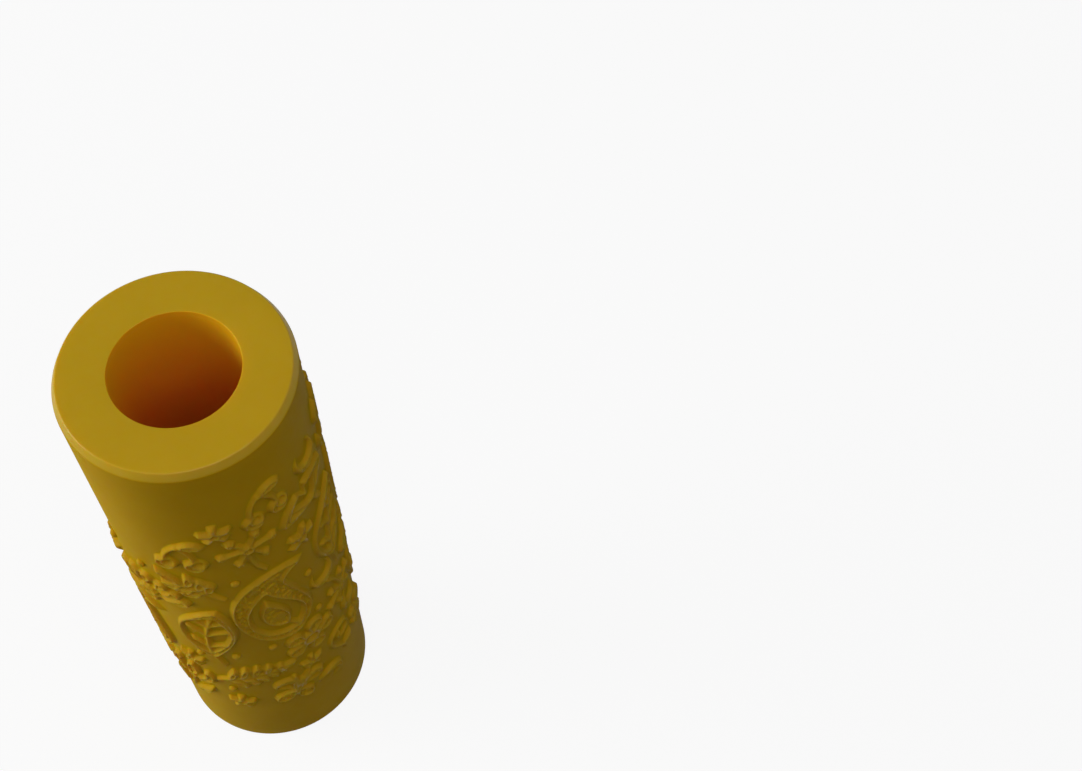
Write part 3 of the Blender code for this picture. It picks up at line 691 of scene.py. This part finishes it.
def surface_heights(depth, x, y):
    """Height over the tube at flat points, from how far they are inside the raised area."""
    way = np.clip((depth + FOOT_WIDTH) / (SHOULDER_WIDTH + FOOT_WIDTH), 0, 1)
    raised = RELIEF_HEIGHT * way * way * (3 - 2 * way)
    sunk = np.clip((depth + FOOT_WIDTH) * SKIRT_SLOPE, -SKIRT_DEPTH, 0)
    wide = np.clip((depth - TOP_START) / TOP_FADE, 0, 1)
    ripples = RIPPLE_DEPTH * way * lattice_noise(x / RIPPLE_SIZE, y / RIPPLE_SIZE, RIPPLE_SEED)
    return raised + sunk - ripples - wide * (DISH_DEPTH + PIT_DEPTH * pits(x, y))


def rolled(x, y, radius):
    """Places in space of flat points at radii from the roller's axis."""
    angle = TILE_START_ANGLE + x / ROLLER_RADIUS
    return np.stack([radius * np.cos(angle), radius * np.sin(angle), y], axis=-1)


def relief_mesh(name, drawing):
    """A closed mesh of the drawing: its top on the grid, a floor inside the tube's wall, and a skirt."""
    columns, rows = drawing.grid()
    depth = drawing.depths(columns, rows)
    x, y = np.meshgrid(columns, rows, indexing="ij")
    near = depth > -FOOT_WIDTH - SKIRT_DEPTH / SKIRT_SLOPE
    used = near[:-1, :-1] | near[1:, :-1] | near[1:, 1:] | near[:-1, 1:]
    top = rolled(x, y, ROLLER_RADIUS + surface_heights(depth, x, y)).reshape(-1, 3)
    floor = rolled(x, y, np.full(x.shape, ROLLER_RADIUS - FLOOR_DEPTH)).reshape(-1, 3)
    numbers = np.arange(x.size).reshape(x.shape)
    corners = (numbers[:-1, :-1], numbers[1:, :-1], numbers[1:, 1:], numbers[:-1, 1:])
    cells = np.stack([c[used] for c in corners], axis=-1)
    edges = np.concatenate([cells[:, [i, (i + 1) % 4]] for i in range(4)])
    codes = edges[:, 0] * x.size + edges[:, 1]
    border = edges[~np.isin(codes, edges[:, 1] * x.size + edges[:, 0])]
    skirt = np.stack([border[:, 1], border[:, 0], border[:, 0] + x.size, border[:, 1] + x.size], axis=-1)
    faces = np.concatenate([cells, cells[:, ::-1] + x.size, skirt])
    kept, faces = np.unique(faces, return_inverse=True)
    mesh = bpy.data.meshes.new(name)
    mesh.from_pydata(np.concatenate([top, floor])[kept].tolist(), [], faces.reshape(-1, 4).tolist())
    mesh.shade_smooth()
    return mesh


# The tube and its beads


def corner_arc(before, corner, after, radius):
    """Points on the arc that rounds a corner between two straight sides."""
    back, ahead = (before - corner).normalized(), (after - corner).normalized()
    reach = radius / math.tan(back.angle(ahead) / 2)
    centre = corner + (back + ahead).normalized() * math.hypot(reach, radius)
    first, last = corner + back * reach - centre, corner + ahead * reach - centre
    return [tuple(centre + radius * first.slerp(last, i / CORNER_STEPS)) for i in range(CORNER_STEPS + 1)]


def tube_profile():
    """The wall's section in the XZ plane, anticlockwise: up the outside, in over the top, down the bore."""
    chamfer = ROLLER_RADIUS - CHAMFER_WIDTH
    corners = (
        ((ROLLER_RADIUS, CHAMFER_RISE), CHAMFER_EDGE_RADIUS),
        ((ROLLER_RADIUS, ROLLER_LENGTH - CHAMFER_RISE), CHAMFER_EDGE_RADIUS),
        ((chamfer, ROLLER_LENGTH), CHAMFER_EDGE_RADIUS),
        ((BORE_RADIUS, ROLLER_LENGTH), BORE_EDGE_RADIUS),
        ((BORE_RADIUS, 0), BORE_EDGE_RADIUS),
        ((chamfer, 0), CHAMFER_EDGE_RADIUS),
    )
    section = []
    for i, (corner, radius) in enumerate(corners):
        before, after = corners[i - 1][0], corners[(i + 1) % len(corners)][0]
        section += corner_arc(Vector(before), Vector(corner), Vector(after), radius)
    return section


def ringed(section):
    """The section with its long sides cut into short steps."""
    step = ROLLER_LENGTH / TUBE_RINGS
    points = []
    for start, end in zip(section, section[1:] + section[:1]):
        count = max(1, round(math.dist(start, end) / step))
        points += [tuple(a + (b - a) * i / count for a, b in zip(start, end)) for i in range(count)]
    return points


def tube_mesh():
    section = ringed(tube_profile())
    count = len(section)
    verts, faces = [], []
    for i in range(TUBE_SIDES):
        angle = math.tau * i / TUBE_SIDES
        verts += [(r * math.cos(angle), r * math.sin(angle), z) for r, z in section]
        here, there = i * count, (i + 1) % TUBE_SIDES * count
        for j in range(count):
            after = (j + 1) % count
            faces.append((here + j, there + j, there + after, here + after))
    mesh = bpy.data.meshes.new("tube")
    mesh.from_pydata(verts, [], faces)
    mesh.shade_smooth()
    mesh.set_sharp_from_angle(angle=TUBE_SHARP_ANGLE)
    return mesh


def bead_directions():
    """Where the solid tube's beads stand: the angle round the axis and the height of each one."""
    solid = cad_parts["roller_tube"].data
    tips = [v.co for v in solid.vertices if v.co.xy.length > ROLLER_RADIUS + BEAD_HEIGHT / 2]
    groups = []
    for tip in tips:
        for group in groups:
            if (group[0] - tip).length < BEAD_DIAMETER:
                group.append(tip)
                break
        else:
            groups.append([tip])
    centres = [sum(group, Vector()) / len(group) for group in groups]
    return [(math.atan2(c.y, c.x), c.z) for c in centres]


def beads_mesh():
    """Every bead as a dome that stands on the tube, closed by a floor inside its wall."""
    verts, faces = [], []
    for angle, height in bead_directions():
        first = len(verts)
        rings = [(BEAD_DIAMETER / 2, -FLOOR_DEPTH)]
        for i in range(BEAD_RINGS):
            lift = math.pi / 2 * i / BEAD_RINGS
            rings.append((BEAD_DIAMETER / 2 * math.cos(lift), BEAD_HEIGHT * math.sin(lift)))
        for reach, rise in rings:
            for i in range(BEAD_SIDES):
                turn = math.tau * i / BEAD_SIDES
                around = angle + reach * math.cos(turn) / ROLLER_RADIUS
                radius = ROLLER_RADIUS + rise
                up = height + reach * math.sin(turn)
                verts.append((radius * math.cos(around), radius * math.sin(around), up))
        crown = ROLLER_RADIUS + BEAD_HEIGHT
        verts.append((crown * math.cos(angle), crown * math.sin(angle), height))
        for ring in range(len(rings) - 1):
            start = first + ring * BEAD_SIDES
            for i in range(BEAD_SIDES):
                here, there = start + i, start + (i + 1) % BEAD_SIDES
                faces.append((here, there, there + BEAD_SIDES, here + BEAD_SIDES))
        last = first + (len(rings) - 1) * BEAD_SIDES
        for i in range(BEAD_SIDES):
            faces.append((last + i, last + (i + 1) % BEAD_SIDES, len(verts) - 1))
        faces.append(tuple(first + i for i in reversed(range(BEAD_SIDES))))
    mesh = bpy.data.meshes.new("beads")
    mesh.from_pydata(verts, [], faces)
    mesh.shade_smooth()
    mesh.set_sharp_from_angle(angle=BEAD_SHARP_ANGLE)
    return mesh


# Materials and light


class Nodes:
    """Short ways to add and link shader nodes."""

    def __init__(self, tree):
        self.tree = tree

    def add(self, kind, links=(), values=(), **settings):
        """A new node with its settings, its sockets' values and the sockets that are linked to it."""
        node = self.tree.nodes.new(kind)
        for name, value in settings.items():
            setattr(node, name, value)
        for name, value in dict(values).items():
            node.inputs[name].default_value = value
        for name, source in dict(links).items():
            self.tree.links.new(source, node.inputs[name])
        return node

    def math(self, operation, first, second):
        """The result of a calculation on two values, each a socket or a number."""
        node = self.tree.nodes.new("ShaderNodeMath")
        node.operation = operation
        for socket, value in zip(node.inputs, (first, second)):
            if isinstance(value, bpy.types.NodeSocket):
                self.tree.links.new(value, socket)
            else:
                socket.default_value = value
        return node.outputs[0]

    def noise(self, place, feature_size, detail):
        """Noise whose lumps are about a feature size apart, in metres."""
        values = {"Scale": 1 / feature_size, "Detail": detail}
        return self.add("ShaderNodeTexNoise", {"Vector": place}, values).outputs["Fac"]

    def ranged(self, value, from_low, from_high, to_low, to_high):
        """A value stretched from one range to another, and held within it."""
        values = {"From Min": from_low, "From Max": from_high, "To Min": to_low, "To Max": to_high}
        return self.add("ShaderNodeMapRange", {"Value": value}, values).outputs["Result"]

    def mixed(self, factor, low_colour, high_colour):
        """A colour between two, each a socket or a plain colour."""
        node = self.add("ShaderNodeMix", {"Factor": factor}, data_type="RGBA")
        sockets = [s for s in node.inputs if s.type == "RGBA"]
        for socket, colour in zip(sockets, (low_colour, high_colour)):
            if isinstance(colour, bpy.types.NodeSocket):
                self.tree.links.new(colour, socket)
            else:
                socket.default_value = colour
        return [s for s in node.outputs if s.type == "RGBA"][0]


# The plastic's colours in linear light: deep and light on the sides and on the smooth ends, with painted
# light and
# shade: the sides are painted more orange for their shade and the ends lighter for the light on them. The
# relief is painted paler towards its top, a painted highlight. The bore is painted orange at its mouth and
# redder deep inside, painted bounce light from the stray light that turns it orange.
SHADE_TINTED_SIDE_COLOURS = (0.620, 0.336, 0.003, 1), (0.66, 0.360, 0.004, 1)
LIT_END_COLOURS = (0.655, 0.408, 0.006, 1), (0.685, 0.428, 0.008, 1)
RELIEF_HIGHLIGHT_COLOUR = (0.608, 0.357, 0.021, 1)
BORE_BOUNCE_COLOURS = (0.88, 0.455, 0.008, 1), (0.88, 0.240, 0.020, 1)
BORE_BOUNCE_DEPTH = 0.020
MOTTLE_SIZE = 0.009
MOTTLE_DETAIL = 3

# Gloss is a coat: faint on the sides, more on the ends and their edges, and most on the relief, where it
# grows above the crest share of its height and fades at grazing angles. All of it varies in fine patches.
SIDE_GLOSS, RIDGE_GLOSS, END_GLOSS, EDGE_GLOSS = 0.07, 0.75, 0.26, 0.48
CREST_SHARE = 0.9
GRAZING_LOW, GRAZING_HIGH = 0.60, 0.80
SHEEN_SIZE = 0.0011
SHEEN_DETAIL = 3
SHEEN_RANGE = (0.8, 1.2)

# The surface: its roughness, the coat's, and a fine grain that is as many times deeper on the relief
PLASTIC_ROUGHNESS = 0.45
GLOSS_ROUGHNESS = 0.30
GRAIN_SIZE = 0.00022
GRAIN_DETAIL = 2
GRAIN_HEIGHT = 0.00001
RELIEF_GRAIN_RATIO = 10

# Noise seldom goes beyond these two values
NOISE_LOW, NOISE_HIGH = 0.3, 0.7

# Part of the light passes a short way into the plastic, red the farthest and blue hardly at all
SUBSURFACE_SHARE = 0.6
SUBSURFACE_RADII = (1.0, 0.35, 0.05)
SUBSURFACE_REACH = 0.0016


def reach_and_depth(nodes, place):
    """How far a place is from the roller's axis, and from the nearer of its two ends."""
    parts = nodes.add("ShaderNodeSeparateXYZ", {"Vector": place})
    x, y, z = (parts.outputs[axis] for axis in "XYZ")
    squares = nodes.math("ADD", nodes.math("MULTIPLY", x, x), nodes.math("MULTIPLY", y, y))
    from_top = nodes.math("SUBTRACT", ROLLER_LENGTH, z)
    return nodes.math("SQRT", squares, 0), nodes.math("MINIMUM", z, from_top)


def plastic_colour(nodes, place, reach, depth):
    """Faintly mottled yellow with painted light and shade: ends painted lighter than the more orange sides,
    the relief painted paler towards its top as a highlight, and painted orange bounce light on the bore's
    wall, more so farther in.
    """
    mottle = nodes.ranged(nodes.noise(place, MOTTLE_SIZE, MOTTLE_DETAIL), NOISE_LOW, NOISE_HIGH, 0, 1)
    # Painted light and shade: the ends are painted lighter and the sides more orange.
    side, end = (nodes.mixed(mottle, *colours) for colours in (SHADE_TINTED_SIDE_COLOURS, LIT_END_COLOURS))
    # Painted highlight: the relief is painted paler towards its top.
    raised = nodes.ranged(reach, ROLLER_RADIUS, ROLLER_RADIUS + RELIEF_HEIGHT, 0, 1)
    side = nodes.mixed(raised, side, RELIEF_HIGHLIGHT_COLOUR)
    from_end = nodes.ranged(depth, CHAMFER_RISE - CHAMFER_EDGE_RADIUS, CHAMFER_RISE, 0, 1)
    outside = nodes.mixed(from_end, end, side)
    # Painted bounce light: the bore's wall is orange at its mouth and redder farther in.
    bore = nodes.mixed(nodes.ranged(depth, 0, BORE_BOUNCE_DEPTH, 0, 1), *BORE_BOUNCE_COLOURS)
    inward = nodes.ranged(reach, BORE_RADIUS + BORE_EDGE_RADIUS, BORE_RADIUS, 0, 1)
    return nodes.mixed(inward, outside, bore)


def plastic_gloss(nodes, place, reach, depth):
    """Gloss in fine patches: faint on the sides, more on the ends and their edges, most on the relief."""
    sheen = nodes.noise(place, SHEEN_SIZE, SHEEN_DETAIL)
    patches = nodes.ranged(sheen, NOISE_LOW, NOISE_HIGH, *SHEEN_RANGE)
    chamfer = ROLLER_RADIUS - CHAMFER_WIDTH
    end = nodes.ranged(reach, chamfer - CHAMFER_EDGE_RADIUS, chamfer, END_GLOSS, EDGE_GLOSS)
    outward = nodes.ranged(depth, CHAMFER_RISE - CHAMFER_EDGE_RADIUS, CHAMFER_RISE, 1, 0)
    spare = nodes.math("MULTIPLY", nodes.math("SUBTRACT", end, SIDE_GLOSS), outward)
    crest = ROLLER_RADIUS + RELIEF_HEIGHT * CREST_SHARE, ROLLER_RADIUS + RELIEF_HEIGHT
    turned = nodes.add("ShaderNodeLayerWeight").outputs["Facing"]
    faced = nodes.ranged(turned, GRAZING_LOW, GRAZING_HIGH, 1, 0)
    ridge = nodes.math("MULTIPLY", nodes.ranged(reach, *crest, 0, RIDGE_GLOSS - SIDE_GLOSS), faced)
    side = nodes.math("ADD", ridge, SIDE_GLOSS)
    return nodes.math("MULTIPLY", nodes.math("ADD", side, spare), patches)


def plastic():
    """Satin yellow plastic with a faint mottle, a fine grain and light passing a little way into it."""
    material = bpy.data.materials.new("yellow_plastic")
    material.use_nodes = True
    nodes = Nodes(material.node_tree)
    shader = material.node_tree.nodes["Principled BSDF"]
    place = nodes.add("ShaderNodeTexCoord").outputs["Object"]
    spot = (place, *reach_and_depth(nodes, place))
    top = ROLLER_RADIUS + RELIEF_HEIGHT
    roughening = nodes.ranged(spot[1], ROLLER_RADIUS, top, 1, RELIEF_GRAIN_RATIO)
    grain = nodes.math("MULTIPLY", nodes.noise(place, GRAIN_SIZE, GRAIN_DETAIL), roughening)
    bump = nodes.add("ShaderNodeBump", {"Height": grain}, {"Strength": 1, "Distance": GRAIN_HEIGHT})
    sources = {"Base Color": plastic_colour(nodes, *spot), "Coat Weight": plastic_gloss(nodes, *spot)}
    sources.update(dict.fromkeys(("Normal", "Coat Normal"), bump.outputs["Normal"]))
    for name, source in sources.items():
        material.node_tree.links.new(source, shader.inputs[name])
    shader.inputs["Roughness"].default_value = PLASTIC_ROUGHNESS
    shader.inputs["Specular IOR Level"].default_value = 0
    shader.inputs["Coat Roughness"].default_value = GLOSS_ROUGHNESS
    shader.inputs["Subsurface Weight"].default_value = SUBSURFACE_SHARE
    shader.inputs["Subsurface Radius"].default_value = SUBSURFACE_RADII
    shader.inputs["Subsurface Scale"].default_value = SUBSURFACE_REACH
    return material


# The floor: its colour to the camera and to other rays, its roughness, and what share of it is plain white
# to the camera, to reflections and through glass
FLOOR_SIZE = 3.0
FLOOR_PALE = (0.95, 0.95, 0.95, 1)
FLOOR_DIM = (0.04, 0.04, 0.04, 1)
FLOOR_ROUGHNESS = 0.9
FLOOR_WHITE_SHARE = 0.9


def ray_kinds(nodes):
    """Whether a ray comes from the camera, and whether it comes from a reflection or through glass."""
    path = nodes.add("ShaderNodeLightPath").outputs
    return path["Is Camera Ray"], nodes.math("MAXIMUM", path["Is Glossy Ray"], path["Is Transmission Ray"])


def paper():
    """Pale matt floor that looks white and keeps a soft shadow."""
    material = bpy.data.materials.new("pale_floor")
    material.use_nodes = True
    nodes = Nodes(material.node_tree)
    shader = material.node_tree.nodes["Principled BSDF"]
    seen, mirrored = ray_kinds(nodes)
    colour = nodes.mixed(seen, FLOOR_DIM, FLOOR_PALE)
    material.node_tree.links.new(colour, shader.inputs["Base Color"])
    shader.inputs["Roughness"].default_value = FLOOR_ROUGHNESS
    shader.inputs["Specular IOR Level"].default_value = 0
    share = nodes.math("MULTIPLY", nodes.math("MAXIMUM", seen, mirrored), FLOOR_WHITE_SHARE)
    white = nodes.add("ShaderNodeEmission")
    mix = nodes.add("ShaderNodeMixShader", {0: share, 1: shader.outputs[0], 2: white.outputs[0]})
    surface = material.node_tree.nodes["Material Output"].inputs["Surface"]
    material.node_tree.links.new(mix.outputs[0], surface)
    return material


def add_floor():
    mesh = bpy.data.meshes.new("floor")
    half = FLOOR_SIZE / 2
    corners = [(-half, -half, 0), (half, -half, 0), (half, half, 0), (-half, half, 0)]
    mesh.from_pydata(corners, [], [(0, 1, 2, 3)])
    mesh.materials.append(paper())
    floor = bpy.data.objects.new("floor", mesh)
    bpy.context.scene.collection.objects.link(floor)


# Light: a dim even room, a broad lamp low on the left, like a window, and a weaker one high at the front
WORLD_STRENGTH = 0.215
LAMP_DISTANCE = 0.75
LAMP_SIZE = 0.6
KEY_AZIMUTH = math.radians(184)
KEY_ELEVATION = math.radians(20)
KEY_WATTS = 3.15
TOP_AZIMUTH = math.radians(-65)
TOP_ELEVATION = math.radians(65)
TOP_WATTS = 1.33


def add_world():
    """A room that is dim to the object's sides and white behind it."""
    world = bpy.data.worlds.new("room")
    bpy.context.scene.world = world
    world.use_nodes = True
    nodes = Nodes(world.node_tree)
    seen, mirrored = ray_kinds(nodes)
    room = world.node_tree.nodes["Background"]
    room.inputs["Color"].default_value = (1, 1, 1, 1)
    room.inputs["Strength"].default_value = WORLD_STRENGTH
    white = nodes.add("ShaderNodeBackground", values={"Color": (1, 1, 1, 1), "Strength": 1})
    links = {0: nodes.math("MAXIMUM", seen, mirrored), 1: room.outputs[0], 2: white.outputs[0]}
    mix = nodes.add("ShaderNodeMixShader", links)
    surface = world.node_tree.nodes["World Output"].inputs["Surface"]
    world.node_tree.links.new(mix.outputs[0], surface)


def add_lamp(name, azimuth, elevation, watts):
    """A broad round lamp that faces the middle of the roller."""
    light = bpy.data.lights.new(name, "AREA")
    light.shape = "DISK"
    light.size = LAMP_SIZE
    light.energy = watts
    away = Vector((math.cos(azimuth), math.sin(azimuth), math.tan(elevation))).normalized()
    lamp = bpy.data.objects.new(name, light)
    lamp.location = Vector((0, 0, ROLLER_LENGTH / 2)) + away * LAMP_DISTANCE
    lamp.rotation_euler = away.to_track_quat("Z", "Y").to_euler()
    bpy.context.scene.collection.objects.link(lamp)


def add_piece(name, mesh, node, material):
    """A visible piece that stands for one of the frame's nodes."""
    mesh.materials.append(material)
    piece = bpy.data.objects.new(name, mesh)
    bpy.context.scene.collection.objects.link(piece)
    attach(piece, BODY)
    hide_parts(node)


def main():
    add_camera()
    material = plastic()
    add_piece("tube_fine", tube_mesh(), "roller_tube", material)
    add_piece("beads_fine", beads_mesh(), "roller_tube", material)
    for name, drawing in placed_drawings().items():
        add_piece(f"{name}_fine", relief_mesh(name, drawing), name, material)
    add_floor()
    add_world()
    add_lamp("key", KEY_AZIMUTH, KEY_ELEVATION, KEY_WATTS)
    add_lamp("top", TOP_AZIMUTH, TOP_ELEVATION, TOP_WATTS)
    bpy.context.scene.view_settings.view_transform = "Standard"


main()
